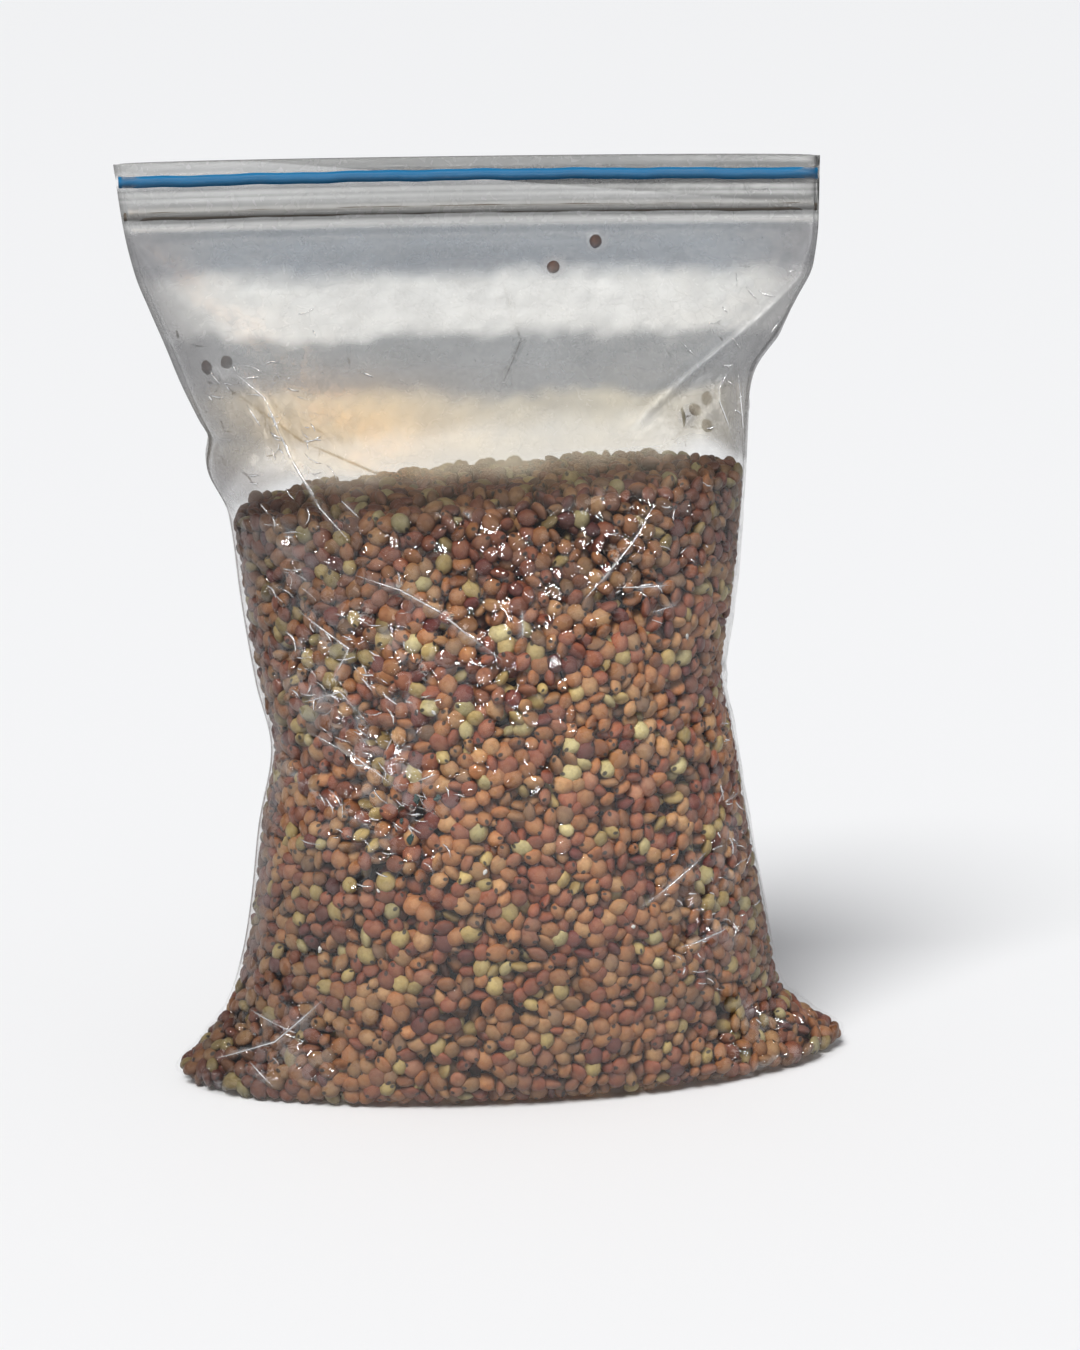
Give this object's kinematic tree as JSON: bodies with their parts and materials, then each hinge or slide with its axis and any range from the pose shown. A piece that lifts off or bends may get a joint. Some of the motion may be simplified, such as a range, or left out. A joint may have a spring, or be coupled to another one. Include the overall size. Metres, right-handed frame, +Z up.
{
  "type": "resealable bag of sorghum grain",
  "caption": "Clear zip-top plastic bag standing upright on a flat base, filled two thirds full with loose red-brown sorghum grain, with a blue press-to-close strip along its mouth.",
  "frame": {"origin": "middle of the flat base that the bag stands on, between its two pointed bottom corners", "axes": "+Z up to the mouth, +X along the closure, -Y towards the front of the bag"},
  "size_m": [0.1888, 0.1, 0.2338],
  "materials": {
    "film": "clear polyethylene film, slightly hazy and crumpled",
    "zip_blue": "blue polyethylene rib",
    "zip_smoke": "smoke-brown polyethylene rib",
    "zip_clear": "clear polyethylene channel",
    "grain": "smooth dry sorghum seed coat, red-brown with tan and cream kernels among them",
    "husk": "dry grey-brown husk"
  },
  "bodies": {
    "root": {"bag_film": "film", "zip_rib_upper": "zip_blue", "zip_rib_lower": "zip_smoke", "zip_channel_upper": "zip_clear", "zip_channel_lower": "zip_clear", "grain_heap": "grain", "stray_grain_1": "grain", "stray_grain_2": "grain", "stray_grain_3": "grain", "stray_grain_4": "grain", "stray_grain_5": "grain", "stray_grain_6": "grain", "stray_grain_7": "grain", "stray_husk_1": "husk", "stray_husk_2": "husk"}
  },
  "joints": []
}
